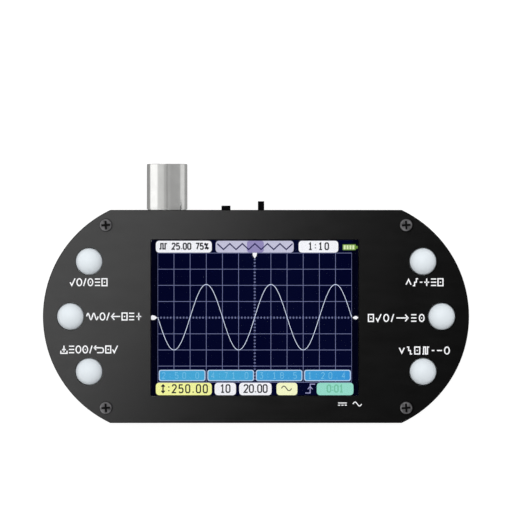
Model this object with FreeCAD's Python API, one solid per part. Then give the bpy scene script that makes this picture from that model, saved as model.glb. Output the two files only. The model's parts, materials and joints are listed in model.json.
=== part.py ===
"""Handheld oscilloscope with a round-ended case: every piece as its own solid, in millimetres.

The case lies on its back. +X runs to the right along the long side, +Y to the edge that carries the
probe socket and the switches, and +Z out of the display. The origin is the middle of the back face.
"""

import FreeCAD, Part
import math
import os
from FreeCAD import Vector

# ---------------------------------------------------------------- driving dimensions

# Display, which the case is drawn round
ACTIVE_WIDTH = 48.96
ACTIVE_HEIGHT = 36.72

# Case outline: straight top and bottom edges joined by two round ends
GRIP_WIDTH = 25.92          # from the display's active area to each end of the case
BROW_HEIGHT = 6.84          # from the active area to each straight edge
END_BULGE = 15.95           # how far a round end stands out past the ends of the straight edges
WALL = 2.0
FLOOR = 2.0
BACK_EDGE_RADIUS = 1.5
PANEL_THICKNESS = 1.6
EDGE_BREAK = 0.15

# Case screws, their bosses and their threaded inserts
SCREW_PAST_CORNER = 1.05    # from the end of the straight edge, towards the round end
SCREW_FROM_EDGE = 3.6
SHANK_DIAMETER = 1.6
HEAD_DIAMETER = 3.0
HEAD_HEIGHT = 0.95
HEAD_ROUNDING = 0.35
TIP_CHAMFER = 0.3
CROSS_WIDTH = 0.5
CROSS_LENGTH = 2.1
CROSS_DEPTH = 0.55
CROSS_TURN = 4.0            # degrees from square to the case
BOSS_DIAMETER = 5.2
BOSS_CLEARANCE = 0.3        # from a boss to the notch that the board has for it
INSERT_DIAMETER = 2.6
INSERT_LENGTH = 4.0
SCREW_TIP_PAST_INSERT = 0.6
SCREW_HOLE_SPARE = 1.0      # the hole in a boss is this much deeper than the screw
THREAD_CLEARANCE = 0.03
INSERT_CLEARANCE = 0.02
SCREW_CLEARANCE = 0.15

# Main board
BOARD_THICKNESS = 1.6
BOARD_TO_WALL = 0.5
LEDGE_WIDTH = 1.8           # the ledges on the walls that the board rests on
LEDGE_DEPTH = 2.6
LEDGE_SPACING = 22.0
LEDGE_PAST_USB = 4.0

# Display module
WINDOW_MARGIN = 0.2         # from the active area to the edge of the panel's window
WINDOW_CORNER_RADIUS = 0.4
DISPLAY_X = -0.3
DISPLAY_Y = -0.3
LENS_CLEARANCE = 0.05       # between the window lens and the panel
LENS_SET_BACK = 0.05        # of the lens's face below the panel's
LENS_SKIRT_WIDTH = 1.5
LENS_SKIRT_THICKNESS = 0.7
GLASS_MARGIN = 3.0          # from the active area to the glass edge on three sides
LEDGE_MARGIN = 8.3          # the same on the side that carries the flex
GLASS_THICKNESS = 1.1
BACKLIGHT_THICKNESS = 1.4
BACKLIGHT_INSET = 0.3
PAD_THICKNESS = 0.3
PAD_WIDTH = 6.0
PAD_END_MARGIN = 4.0
PAD_TO_PIN = 1.0
GASKET_THICKNESS = 0.3
GASKET_WIDTH = 1.6
GASKET_SETBACK = 0.3        # from the window's edge to the gasket

# Display flex and its connector
FLEX_WIDTH = 14.0
FLEX_THICKNESS = 0.2
FLEX_REACH = 3.2
FLEX_SEAT = 1.0
FLEX_LEVEL = 0.5            # straight run at each end of its bend
FLEX_DROP = 0.35            # below the glass's top face, where the flex leaves the glass
CONNECTOR_LENGTH = 3.5
CONNECTOR_HEIGHT = 1.5
CONNECTOR_END = 1.2
CONNECTOR_SLOT_CLEARANCE = 0.05

# Domed keys and the small switches under them
KEY_DIAMETER = 6.15
KEY_DOME_HEIGHT = 2.0
KEY_STANDS_PROUD = 0.3      # the straight part of the key above the panel
KEY_FLANGE_WIDTH = 0.8
KEY_HOLE_CLEARANCE = 0.2
KEY_TO_WALL = 0.62
KEY_ANGLE = 37.5            # the upper and lower keys, about the middle of the round end
KEY_TRAVEL = 0.25
KEY_SPARE_TRAVEL = 0.2      # between a pressed key's flange and the switch under it
KEY_PLAY = 0.25             # between a key's flange and the panel
SWITCH_SIZE = 5.2
SWITCH_COVER_THICKNESS = 0.2
SWITCH_COVER_HEIGHT = 1.5   # top of the cover above the board
PLUNGER_DIAMETER = 2.0
PLUNGER_CLEARANCE = 0.1
PLUNGER_SEAT = 0.6

# Probe socket on the top edge
BARREL_DIAMETER = 9.7
BARREL_WALL = 0.75
BARREL_STANDS_OUT = 11.1
BARREL_CHAMFER = 0.1
NECK_STEP = 0.2             # the barrel is this much thinner where it goes through the wall
NECK_STANDS_OUT = 0.3
SOCKET_X = -21.27
BLOCK_MARGIN = 0.9          # from the barrel to the block's upper and lower faces
BLOCK_SIDE_MARGIN = 2.4     # and to its left and right faces
BLOCK_DEPTH = 12.0
BLOCK_EDGE_RADIUS = 0.5
BLOCK_TO_FLOOR = 0.3
INNER_GAP = 0.2             # between the wall and what is mounted right behind it
INSULATOR_BASE = 2.2
INSULATOR_CLEARANCE = 0.02
INSULATOR_NOSE_DIAMETER = 4.8
INSULATOR_RECESS = 1.4
CONTACT_DIAMETER = 2.0
CONTACT_BORE = 1.35
CONTACT_RECESS = 2.0
CONTACT_SLOT = 0.25
CONTACT_SLOT_LENGTH = 4.0
CONTACT_BORE_PAST_SLOT = 1.0
CONTACT_CLEARANCE = 0.02
SOCKET_HOLE_CLEARANCE = 0.2
SOCKET_PIN_DIAMETER = 1.0
SOCKET_PIN_PITCH = 5.08
PIN_STANDS_PROUD = 0.15
PIN_HOLE_CLEARANCE = 0.1

# Push button on the top edge
BUTTON_X = -7.15
BUTTON_WIDTH = 2.15
BUTTON_THICKNESS = 1.6
BUTTON_STANDS_OUT = 1.1
BUTTON_TRAVEL = 0.25
BUTTON_SEAT = 1.2
BUTTON_CLEARANCE = 0.15
BUTTON_EDGE_RADIUS = 0.2
BUTTON_BODY_WIDTH = 6.0
BUTTON_BODY_DEPTH = 3.6
BUTTON_BODY_HEIGHT = 3.6

# Slide switch on the top edge
LEVER_X = 1.2
LEVER_WIDTH = 1.5
LEVER_THICKNESS = 1.4
LEVER_STANDS_OUT = 2.15
LEVER_TRAVEL = 2.0
LEVER_CLEARANCE = 0.2
LEVER_EDGE_RADIUS = 0.15
CARRIAGE_WIDTH = 2.6
CARRIAGE_DEPTH = 1.3
CARRIAGE_HEIGHT = 2.0
CARRIAGE_CLEARANCE = 0.12
SLIDE_BODY_WIDTH = 8.6
SLIDE_BODY_DEPTH = 3.6
SLIDE_BODY_HEIGHT = 3.4
SLIDE_COVER_THICKNESS = 0.25

# Charging socket on the top edge
USB_X = 20.0
USB_WIDTH = 8.94
USB_HEIGHT = 3.16
USB_DEPTH = 7.3
USB_SHELL_THICKNESS = 0.3
USB_SET_BACK = 0.25
USB_HOLE_CLEARANCE = 0.2
TONGUE_WIDTH = 6.7
TONGUE_THICKNESS = 0.6
TONGUE_SET_BACK = 0.9
USB_BACK_THICKNESS = 2.0
USB_CONTACT_COUNT = 12
USB_CONTACT_PITCH = 0.5
USB_CONTACT_WIDTH = 0.26
USB_CONTACT_THICKNESS = 0.08
USB_CONTACT_LENGTH = 3.4

# Battery
BATTERY_X = 15.0
BATTERY_Y = -0.5
BATTERY_LENGTH = 50.0
BATTERY_WIDTH = 34.0
BATTERY_THICKNESS = 5.0
BATTERY_EDGE_RADIUS = 1.6
FOAM_THICKNESS = 0.5
FOAM_MARGIN = 6.0
RIB_THICKNESS = 1.2
RIB_HEIGHT = 3.5
RIB_LENGTH = 12.0
RIB_CLEARANCE = 0.4
GUARD_BOARD_THICKNESS = 1.0
GUARD_BOARD_LENGTH = 20.0
GUARD_BOARD_HEIGHT = 4.0
TAB_WIDTH = 3.0
TAB_THICKNESS = 0.3
TAB_SPACING = 12.0

# Chips under the board: length, width and height under it
CHIP_SIZES = {
    "processor_chip": (10.0, 10.0, 1.2),
    "amplifier_chips": (5.0, 4.0, 1.5),
    "charger_chip": (5.0, 4.0, 1.5),
    "clock_crystal": (5.0, 3.2, 1.3),
    "power_inductor": (5.0, 5.0, 3.0),
    "coupling_capacitor": (8.0, 4.0, 4.5),
    "filter_capacitors": (3.5, 2.8, 2.0),
}
CHIP_EDGE_RADIUS = 0.3

# Rows that the chips lie in, and the room between neighbours
INPUT_ROW_Y = 5.0           # amplifiers, behind the probe socket
LOGIC_ROW_Y = -9.0          # processor and crystal
AMPLIFIER_PITCH = 8.0
LOGIC_PITCH = 11.0
SUPPLY_PITCH = 7.0
BEHIND_PART = 5.0           # from the back of a socket to the row of chips behind it
BESIDE_SOCKET = 4.0

# Rows of small parts
PASSIVE_SIZE = (2.0, 1.25, 0.6)
PASSIVE_PITCH = 3.5
LOGIC_PASSIVES = 5
SUPPLY_PASSIVES = 6
LOGIC_PASSIVES_Y = -17.0
SUPPLY_PASSIVES_Y = -6.0

# Label recess in the back face
RECESS_LENGTH = 44.0
RECESS_HEIGHT = 14.0
RECESS_DEPTH = 0.3
RECESS_Y = -13.0
RECESS_CORNER_RADIUS = 1.5

CUT_PAST_WALL = 0.5         # how far a cut through the wall runs past its faces
SAME_PLACE = 1e-6           # how near two places or directions are when they count as one

# ---------------------------------------------------------------- places worked out from them

half_length = ACTIVE_WIDTH / 2 + GRIP_WIDTH
half_height = ACTIVE_HEIGHT / 2 + BROW_HEIGHT
end_radius = (half_height**2 + END_BULGE**2) / (2 * END_BULGE)
end_centre_x = half_length - end_radius
corner_x = half_length - END_BULGE

# Heights, from the back face up
block_height = BARREL_DIAMETER + 2 * BLOCK_MARGIN
z_block = FLOOR + BLOCK_TO_FLOOR
z_board = z_block + block_height
z_board_top = z_board + BOARD_THICKNESS
z_backlight = z_board_top + PAD_THICKNESS
z_glass = z_backlight + BACKLIGHT_THICKNESS
z_glass_top = z_glass + GLASS_THICKNESS
z_rim = z_glass_top + GASKET_THICKNESS
z_face = z_rim + PANEL_THICKNESS
z_skirt = z_rim + LENS_SKIRT_THICKNESS
z_barrel = z_block + block_height / 2
block_width = BARREL_DIAMETER + 2 * BLOCK_SIDE_MARGIN
barrel_bore = BARREL_DIAMETER - 2 * BARREL_WALL

# The inner face of the top wall, and the front of what is mounted behind it
y_wall = half_height - WALL
y_mount = y_wall - INNER_GAP

# Keys: three at each end, on a circle about the middle of the round end
key_radius = KEY_DIAMETER / 2
flange_radius = key_radius + KEY_FLANGE_WIDTH
key_circle_radius = end_radius - WALL - KEY_TO_WALL - flange_radius
z_cover_top = z_board_top + SWITCH_COVER_HEIGHT
z_flange = z_cover_top + KEY_TRAVEL + KEY_SPARE_TRAVEL
z_flange_top = z_rim - KEY_PLAY

# Screws, one near each end of each straight edge
screw_x = corner_x + SCREW_PAST_CORNER
screw_y = half_height - SCREW_FROM_EDGE
SCREW_PLACES = [(sx * screw_x, sy * screw_y) for sx in (-1, 1) for sy in (-1, 1)]
z_insert = z_rim - INSERT_LENGTH
z_screw_tip = z_insert - SCREW_TIP_PAST_INSERT

# Display window, and the glass that reaches further on the flex side
window_width = ACTIVE_WIDTH + 2 * WINDOW_MARGIN
window_height = ACTIVE_HEIGHT + 2 * WINDOW_MARGIN
glass_left = DISPLAY_X - ACTIVE_WIDTH / 2 - GLASS_MARGIN
glass_right = DISPLAY_X + ACTIVE_WIDTH / 2 + LEDGE_MARGIN
glass_height = ACTIVE_HEIGHT + 2 * GLASS_MARGIN
connector_x = glass_right + FLEX_REACH
z_flex = z_glass_top - FLEX_DROP
z_flex_end = z_board_top + CONNECTOR_HEIGHT / 2

# Switches and charging socket hang under the board
z_button = z_board - BUTTON_BODY_HEIGHT / 2
z_lever = z_board - SLIDE_BODY_HEIGHT / 2
z_usb = z_board - USB_HEIGHT / 2
slide_x = LEVER_X + LEVER_TRAVEL / 2
y_usb_mouth = half_height - USB_SET_BACK

z_battery = FLOOR + FOAM_THICKNESS


# ---------------------------------------------------------------- shapes


def outline(inset, z0, z1):
    """The case outline, taken in by inset all round, from z0 to z1."""
    radius = end_radius - inset
    y = half_height - inset
    x = end_centre_x + math.sqrt(radius**2 - y**2)
    tip = end_centre_x + radius
    wire = Part.Wire([
        Part.LineSegment(Vector(-x, y, z0), Vector(x, y, z0)).toShape(),
        Part.Arc(Vector(x, y, z0), Vector(tip, 0, z0), Vector(x, -y, z0)).toShape(),
        Part.LineSegment(Vector(x, -y, z0), Vector(-x, -y, z0)).toShape(),
        Part.Arc(Vector(-x, -y, z0), Vector(-tip, 0, z0), Vector(-x, y, z0)).toShape(),
    ])
    return Part.Face(wire).extrude(Vector(0, 0, z1 - z0))


def block(x0, x1, y0, y1, z0, z1):
    """A box between two corners."""
    return Part.makeBox(x1 - x0, y1 - y0, z1 - z0, Vector(x0, y0, z0))


def centred(x, y, z0, length, width, height):
    """A box about x, y that stands on z0."""
    return block(x - length / 2, x + length / 2, y - width / 2, y + width / 2, z0, z0 + height)


def edges_along(shape, direction):
    """The straight edges of shape that run along direction."""
    found = []
    for edge in shape.Edges:
        if isinstance(edge.Curve, Part.Line) and abs(edge.Curve.Direction.dot(direction)) > 1 - SAME_PLACE:
            found.append(edge)
    return found


def rounded(shape, direction, radius):
    """shape with its straight edges along direction rounded."""
    return shape.makeFillet(radius, edges_along(shape, direction))


def edges_at(shape, z):
    """The edges of shape that lie in the plane at height z."""
    found = []
    for edge in shape.Edges:
        box = edge.BoundBox
        if abs(box.ZMin - z) < SAME_PLACE and abs(box.ZMax - z) < SAME_PLACE:
            found.append(edge)
    return found


def rod(radius, x, y, z0, z1):
    """An upright cylinder."""
    return Part.makeCylinder(radius, z1 - z0, Vector(x, y, z0))


def rod_y(radius, x, z, y0, y1):
    """A cylinder along +Y."""
    return Part.makeCylinder(radius, y1 - y0, Vector(x, y0, z), Vector(0, 1, 0))


def slot_y(x, z, width, height, y0, y1):
    """A round-ended slot along Y, its length along X."""
    radius = height / 2
    reach = width / 2 - radius
    left, right = x - reach, x + reach
    wire = Part.Wire([
        Part.LineSegment(Vector(left, y0, z + radius), Vector(right, y0, z + radius)).toShape(),
        Part.Arc(
            Vector(right, y0, z + radius), Vector(right + radius, y0, z), Vector(right, y0, z - radius)
        ).toShape(),
        Part.LineSegment(Vector(right, y0, z - radius), Vector(left, y0, z - radius)).toShape(),
        Part.Arc(
            Vector(left, y0, z - radius), Vector(left - radius, y0, z), Vector(left, y0, z + radius)
        ).toShape(),
    ])
    return Part.Face(wire).extrude(Vector(0, y1 - y0, 0))


def turned(profile, x, y):
    """A solid of revolution about the upright line at x, y, from (radius, z) points and arcs.

    A point of three numbers (radius, z, "via") is the middle of an arc to the next point."""
    corners = list(profile) + [profile[0]]
    edges = []
    start = Vector(corners[0][0], 0, corners[0][1])
    via = None
    for point in corners[1:]:
        here = Vector(point[0], 0, point[1])
        if len(point) == 3:
            via = here
            continue
        if via is None:
            edges.append(Part.LineSegment(start, here).toShape())
        else:
            edges.append(Part.Arc(start, via, here).toShape())
        start, via = here, None
    solid = Part.Face(Part.Wire(edges)).revolve(Vector(0, 0, 0), Vector(0, 0, 1), 360)
    solid.translate(Vector(x, y, 0))
    return solid


def save(name, *solids):
    """Writes one node, made of one solid or a group of separate solids."""
    shape = solids[0] if len(solids) == 1 else Part.makeCompound(list(solids))
    shape.exportStep(f"parts/{name}.step")


# ---------------------------------------------------------------- case


def key_places():
    """Name and middle of each key."""
    places = {}
    for side, names in ((-1, ("ok", "left", "back")), (1, ("up", "right", "down"))):
        for name, angle in zip(names, (KEY_ANGLE, 0, -KEY_ANGLE)):
            turn = math.radians(angle)
            x = side * (end_centre_x + key_circle_radius * math.cos(turn))
            places[name] = (x, key_circle_radius * math.sin(turn))
    return places


def window_sheet(margin, z0, z1):
    """A sheet with the window's rounded shape, larger than it by margin all round."""
    width = window_width + 2 * margin
    sheet = centred(DISPLAY_X, DISPLAY_Y, z0, width, window_height + 2 * margin, z1 - z0)
    return rounded(sheet, Vector(0, 0, 1), WINDOW_CORNER_RADIUS)


def front_panel():
    """Flat face plate with the display window, key holes and screw holes."""
    plate = outline(0, z_rim, z_face)
    plate = plate.makeChamfer(EDGE_BREAK, edges_at(plate, z_face))
    plate = plate.cut(window_sheet(0, z_rim, z_face))
    plate = plate.cut(window_sheet(LENS_SKIRT_WIDTH + LENS_CLEARANCE, z_rim, z_skirt))
    for x, y in key_places().values():
        plate = plate.cut(rod(key_radius + KEY_HOLE_CLEARANCE, x, y, z_rim, z_face))
    for x, y in SCREW_PLACES:
        plate = plate.cut(rod(SHANK_DIAMETER / 2 + SCREW_CLEARANCE, x, y, z_rim, z_face))
    return plate


def window_lens():
    """Clear lens that fills the window, with a skirt held between the panel and the display."""
    skirt = window_sheet(LENS_SKIRT_WIDTH, z_rim, z_skirt)
    return skirt.fuse(window_sheet(-LENS_CLEARANCE, z_rim, z_face - LENS_SET_BACK))


def board_ledges():
    """Ledges on the walls that the board rests on: three above, three below and one at each end."""
    block_right = SOCKET_X + block_width / 2
    button_left = BUTTON_X - BUTTON_BODY_WIDTH / 2
    slide_right = slide_x + SLIDE_BODY_WIDTH / 2
    usb_left = USB_X - USB_WIDTH / 2
    upper = (
        (block_right + button_left) / 2,
        (slide_right + usb_left) / 2,
        USB_X + USB_WIDTH / 2 + LEDGE_PAST_USB,
    )
    half = LEDGE_WIDTH / 2
    y_out = half_height - WALL / 2
    y_in = y_wall - LEDGE_DEPTH
    ledges = [block(x - half, x + half, y_in, y_out, FLOOR, z_board) for x in upper]
    for x in (-LEDGE_SPACING, 0, LEDGE_SPACING):
        ledges.append(block(x - half, x + half, -y_out, -y_in, FLOOR, z_board))
    x_out = half_length - WALL / 2
    x_in = half_length - WALL - LEDGE_DEPTH
    ledges.append(block(x_in, x_out, -half, half, FLOOR, z_board))
    ledges.append(block(-x_out, -x_in, -half, half, FLOOR, z_board))
    return ledges


def battery_ribs():
    """Low ribs on the floor, two on each long side of the battery and one at its right end."""
    half_width = BATTERY_WIDTH / 2 + RIB_CLEARANCE
    ribs = []
    for side in (-1, 1):
        y = BATTERY_Y + side * (half_width + RIB_THICKNESS / 2)
        for end in (-1, 1):
            x = BATTERY_X + end * BATTERY_LENGTH / 4
            ribs.append(centred(x, y, FLOOR, RIB_LENGTH, RIB_THICKNESS, RIB_HEIGHT))
    x = BATTERY_X + BATTERY_LENGTH / 2 + RIB_CLEARANCE + RIB_THICKNESS / 2
    ribs.append(centred(x, BATTERY_Y, FLOOR, RIB_THICKNESS, RIB_LENGTH, RIB_HEIGHT))
    return ribs


def wall_openings():
    """What is cut through the top wall: probe socket, push button, slide switch and charging socket."""
    y0, y1 = y_wall - CUT_PAST_WALL, half_height + CUT_PAST_WALL
    barrel = rod_y(BARREL_DIAMETER / 2 + SOCKET_HOLE_CLEARANCE, SOCKET_X, z_barrel, y0, y1)
    half_button = BUTTON_WIDTH / 2 + BUTTON_CLEARANCE
    half_thick = BUTTON_THICKNESS / 2 + BUTTON_CLEARANCE
    button = block(
        BUTTON_X - half_button, BUTTON_X + half_button, y0, y1, z_button - half_thick, z_button + half_thick
    )
    reach = LEVER_TRAVEL / 2 + LEVER_WIDTH / 2 + LEVER_CLEARANCE
    half_lever = LEVER_THICKNESS / 2 + LEVER_CLEARANCE
    lever = block(slide_x - reach, slide_x + reach, y0, y1, z_lever - half_lever, z_lever + half_lever)
    spare = 2 * USB_HOLE_CLEARANCE
    usb = slot_y(USB_X, z_usb, USB_WIDTH + spare, USB_HEIGHT + spare, y0, y1)
    return [barrel, button, lever, usb]


def rear_shell():
    """The back and side walls in one moulding, with screw bosses and battery ribs."""
    outer = outline(0, 0, z_rim)
    outer = outer.makeFillet(BACK_EDGE_RADIUS, edges_at(outer, 0))
    shell = outer.cut(outline(WALL, FLOOR, z_rim))
    keep_in = outline(WALL / 2, FLOOR, z_rim)
    for x, y in SCREW_PLACES:
        shell = shell.fuse(rod(BOSS_DIAMETER / 2, x, y, FLOOR, z_rim).common(keep_in))
    for rib in battery_ribs() + board_ledges():
        shell = shell.fuse(rib)
    z_hole = z_screw_tip - SCREW_HOLE_SPARE
    for x, y in SCREW_PLACES:
        shell = shell.cut(rod(INSERT_DIAMETER / 2 + INSERT_CLEARANCE, x, y, z_insert, z_rim))
        shell = shell.cut(rod(SHANK_DIAMETER / 2 + SCREW_CLEARANCE, x, y, z_hole, z_insert))
    for opening in wall_openings():
        shell = shell.cut(opening)
    recess = centred(0, RECESS_Y, 0, RECESS_LENGTH, RECESS_HEIGHT, RECESS_DEPTH)
    shell = shell.cut(rounded(recess, Vector(0, 0, 1), RECESS_CORNER_RADIUS))
    return shell.removeSplitter()


def case_screw(x, y):
    """Pan-head screw with a cross recess, its head on the panel."""
    top = z_face + HEAD_HEIGHT
    head = rod(HEAD_DIAMETER / 2, x, y, z_face, top)
    head = head.makeFillet(HEAD_ROUNDING, edges_at(head, top))
    shank = rod(SHANK_DIAMETER / 2, x, y, z_screw_tip, z_face)
    shank = shank.makeChamfer(TIP_CHAMFER, edges_at(shank, z_screw_tip))
    floor = top - CROSS_DEPTH
    recess = centred(x, y, floor, CROSS_LENGTH, CROSS_WIDTH, CROSS_DEPTH)
    recess = recess.fuse(centred(x, y, floor, CROSS_WIDTH, CROSS_LENGTH, CROSS_DEPTH))
    recess = recess.removeSplitter()
    recess.rotate(Vector(x, y, 0), Vector(0, 0, 1), CROSS_TURN)
    return head.fuse(shank).cut(recess)


def threaded_insert(x, y):
    """Brass insert at the top of a boss."""
    sleeve = rod(INSERT_DIAMETER / 2, x, y, z_insert, z_rim)
    return sleeve.cut(rod(SHANK_DIAMETER / 2 + THREAD_CLEARANCE, x, y, z_insert, z_rim))


# ---------------------------------------------------------------- display


def lcd_gasket():
    """Thin foam frame between the panel and the glass."""
    width = window_width + 2 * GASKET_SETBACK
    height = window_height + 2 * GASKET_SETBACK
    outer_width = width + 2 * GASKET_WIDTH
    outer_height = height + 2 * GASKET_WIDTH
    ring = centred(DISPLAY_X, DISPLAY_Y, z_glass_top, outer_width, outer_height, GASKET_THICKNESS)
    return ring.cut(centred(DISPLAY_X, DISPLAY_Y, z_glass_top, width, height, GASKET_THICKNESS))


def lcd_glass():
    """The glass sandwich that carries the picture."""
    y0 = DISPLAY_Y - glass_height / 2
    return block(glass_left, glass_right, y0, y0 + glass_height, z_glass, z_glass_top)


def lcd_backlight():
    """Light guide in its frame, under the glass."""
    y0 = DISPLAY_Y - glass_height / 2 + BACKLIGHT_INSET
    y1 = DISPLAY_Y + glass_height / 2 - BACKLIGHT_INSET
    frame = block(glass_left + BACKLIGHT_INSET, glass_right - BACKLIGHT_INSET, y0, y1, z_backlight, z_glass)
    return rounded(frame, Vector(0, 0, 1), BACKLIGHT_INSET)


def lcd_pads():
    """Two strips of foam tape that hold the display on the board, clear of the socket's pins."""
    middle = (glass_left + glass_right) / 2
    reach = (glass_right - glass_left) / 2 - PAD_END_MARGIN - PAD_WIDTH / 2
    y0 = DISPLAY_Y - glass_height / 2 + PAD_END_MARGIN
    y1 = socket_pin_places()[0][1] - SOCKET_PIN_DIAMETER / 2 - PAD_TO_PIN
    half = PAD_WIDTH / 2
    return [
        block(x - half, x + half, y0, y1, z_board_top, z_backlight)
        for x in (middle - reach, middle + reach)
    ]


def ribbon_line(z0, z1):
    """Edges of a line that leaves the glass level at z0 and enters the connector level at z1."""
    start = Vector(glass_right, 0, z0)
    bend_start = Vector(glass_right + FLEX_LEVEL, 0, z0)
    bend_end = Vector(connector_x - FLEX_LEVEL, 0, z1)
    end = Vector(connector_x + FLEX_SEAT, 0, z1)
    middle = (bend_start.x + bend_end.x) / 2
    bend = Part.BezierCurve()
    bend.setPoles([bend_start, Vector(middle, 0, z0), Vector(middle, 0, z1), bend_end])
    return [
        Part.LineSegment(start, bend_start).toShape(),
        bend.toShape(),
        Part.LineSegment(bend_end, end).toShape(),
    ]


def lcd_flex():
    """Ribbon from the end of the glass down into its connector."""
    z0, z1 = z_flex, z_flex_end - FLEX_THICKNESS / 2
    z0_top, z1_top = z0 + FLEX_THICKNESS, z1 + FLEX_THICKNESS
    x_end = connector_x + FLEX_SEAT
    glass_end = Part.LineSegment(Vector(glass_right, 0, z0), Vector(glass_right, 0, z0_top)).toShape()
    board_end = Part.LineSegment(Vector(x_end, 0, z1), Vector(x_end, 0, z1_top)).toShape()
    edges = ribbon_line(z0, z1) + [board_end] + ribbon_line(z0_top, z1_top) + [glass_end]
    ribbon = Part.Face(Part.Wire(Part.__sortEdges__(edges))).extrude(Vector(0, FLEX_WIDTH, 0))
    ribbon.translate(Vector(0, DISPLAY_Y - FLEX_WIDTH / 2, 0))
    return ribbon


def lcd_connector():
    """Flat-cable connector on the board, open on the side of the display."""
    half = FLEX_WIDTH / 2 + CONNECTOR_END
    body = block(
        connector_x, connector_x + CONNECTOR_LENGTH, DISPLAY_Y - half, DISPLAY_Y + half,
        z_board_top, z_board_top + CONNECTOR_HEIGHT,
    )
    half_slot = FLEX_WIDTH / 2 + CONNECTOR_SLOT_CLEARANCE
    height = FLEX_THICKNESS / 2 + CONNECTOR_SLOT_CLEARANCE
    mouth = block(
        connector_x, connector_x + FLEX_SEAT + CONNECTOR_SLOT_CLEARANCE,
        DISPLAY_Y - half_slot, DISPLAY_Y + half_slot, z_flex_end - height, z_flex_end + height,
    )
    return body.cut(mouth)


# ---------------------------------------------------------------- keys


def key_cap(x, y):
    """White domed key with a flange that stops under the panel."""
    edge = z_face + KEY_STANDS_PROUD
    sphere = (key_radius**2 + KEY_DOME_HEIGHT**2) / (2 * KEY_DOME_HEIGHT)
    half_turn = math.asin(key_radius / sphere) / 2
    z_middle = edge + KEY_DOME_HEIGHT - sphere * (1 - math.cos(half_turn))
    middle = (sphere * math.sin(half_turn), z_middle, "via")
    return turned(
        [
            (0, z_flange),
            (flange_radius, z_flange),
            (flange_radius, z_flange_top),
            (key_radius, z_flange_top),
            (key_radius, edge),
            middle,
            (0, edge + KEY_DOME_HEIGHT),
        ],
        x,
        y,
    )


def key_plunger(x, y):
    """Plunger that the key rests on."""
    return rod(PLUNGER_DIAMETER / 2, x, y, z_cover_top - SWITCH_COVER_THICKNESS - PLUNGER_SEAT, z_flange)


def key_switch_base(x, y):
    """Body of the small switch under a key, with the well its plunger goes down."""
    height = SWITCH_COVER_HEIGHT - SWITCH_COVER_THICKNESS
    body = centred(x, y, z_board_top, SWITCH_SIZE, SWITCH_SIZE, height)
    well_floor = z_board_top + height - PLUNGER_SEAT - KEY_TRAVEL - PLUNGER_CLEARANCE
    well = rod(PLUNGER_DIAMETER / 2 + PLUNGER_CLEARANCE, x, y, well_floor, z_board_top + height)
    return body.cut(well)


def key_switch_cover(x, y):
    """Metal plate on the switch, round its plunger."""
    z0 = z_cover_top - SWITCH_COVER_THICKNESS
    plate = centred(x, y, z0, SWITCH_SIZE, SWITCH_SIZE, SWITCH_COVER_THICKNESS)
    return plate.cut(rod(PLUNGER_DIAMETER / 2 + PLUNGER_CLEARANCE, x, y, z0, z_cover_top))


# ---------------------------------------------------------------- probe socket


def socket_block():
    """Plastic block of the probe socket, on the underside of the board."""
    half = block_width / 2
    body = block(SOCKET_X - half, SOCKET_X + half, y_mount - BLOCK_DEPTH, y_mount, z_block, z_board)
    return rounded(body, Vector(0, 1, 0), BLOCK_EDGE_RADIUS)


def socket_barrel():
    """Smooth metal barrel, thinner where it goes through the wall."""
    y_tip = half_height + BARREL_STANDS_OUT
    y_neck = half_height + NECK_STANDS_OUT
    radius = BARREL_DIAMETER / 2
    outer = rod_y(radius, SOCKET_X, z_barrel, y_neck, y_tip)
    tip = [edge for edge in outer.Edges if abs(edge.BoundBox.YMin - y_tip) < SAME_PLACE]
    outer = outer.makeChamfer(BARREL_CHAMFER, tip)
    outer = outer.fuse(rod_y(radius - NECK_STEP, SOCKET_X, z_barrel, y_mount, y_neck))
    return outer.cut(rod_y(barrel_bore / 2, SOCKET_X, z_barrel, y_mount, y_tip))


def socket_insulator():
    """White insulator: a base that fills the barrel and a nose round the contact."""
    y_nose = half_height + BARREL_STANDS_OUT - INSULATOR_RECESS
    radius = barrel_bore / 2 - INSULATOR_CLEARANCE
    base = rod_y(radius, SOCKET_X, z_barrel, y_mount, y_mount + INSULATOR_BASE)
    nose = rod_y(INSULATOR_NOSE_DIAMETER / 2, SOCKET_X, z_barrel, y_mount, y_nose)
    bore = rod_y(CONTACT_DIAMETER / 2 + CONTACT_CLEARANCE, SOCKET_X, z_barrel, y_mount, y_nose)
    return base.fuse(nose).cut(bore)


def socket_contact():
    """Split sleeve in the middle of the socket."""
    y_end = half_height + BARREL_STANDS_OUT - CONTACT_RECESS
    sleeve = rod_y(CONTACT_DIAMETER / 2, SOCKET_X, z_barrel, y_mount, y_end)
    bore_start = y_end - CONTACT_SLOT_LENGTH - CONTACT_BORE_PAST_SLOT
    sleeve = sleeve.cut(rod_y(CONTACT_BORE / 2, SOCKET_X, z_barrel, bore_start, y_end))
    radius = CONTACT_DIAMETER / 2
    y0 = y_end - CONTACT_SLOT_LENGTH
    half_slot = CONTACT_SLOT / 2
    slot = block(
        SOCKET_X - half_slot, SOCKET_X + half_slot, y0, y_end, z_barrel - radius, z_barrel + radius
    )
    return sleeve.cut(slot)


def socket_pin_places():
    """Signal pin behind the barrel, and an earth pin on each side nearer the wall."""
    y_back = y_mount - BLOCK_DEPTH + SOCKET_PIN_PITCH / 2
    return [
        (SOCKET_X, y_back),
        (SOCKET_X - SOCKET_PIN_PITCH, y_back + SOCKET_PIN_PITCH),
        (SOCKET_X + SOCKET_PIN_PITCH, y_back + SOCKET_PIN_PITCH),
    ]


def socket_pins():
    """Pins from the block up through the board, clipped short under the display."""
    radius = SOCKET_PIN_DIAMETER / 2
    return [rod(radius, x, y, z_board, z_board_top + PIN_STANDS_PROUD) for x, y in socket_pin_places()]


# ---------------------------------------------------------------- push button and slide switch


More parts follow.
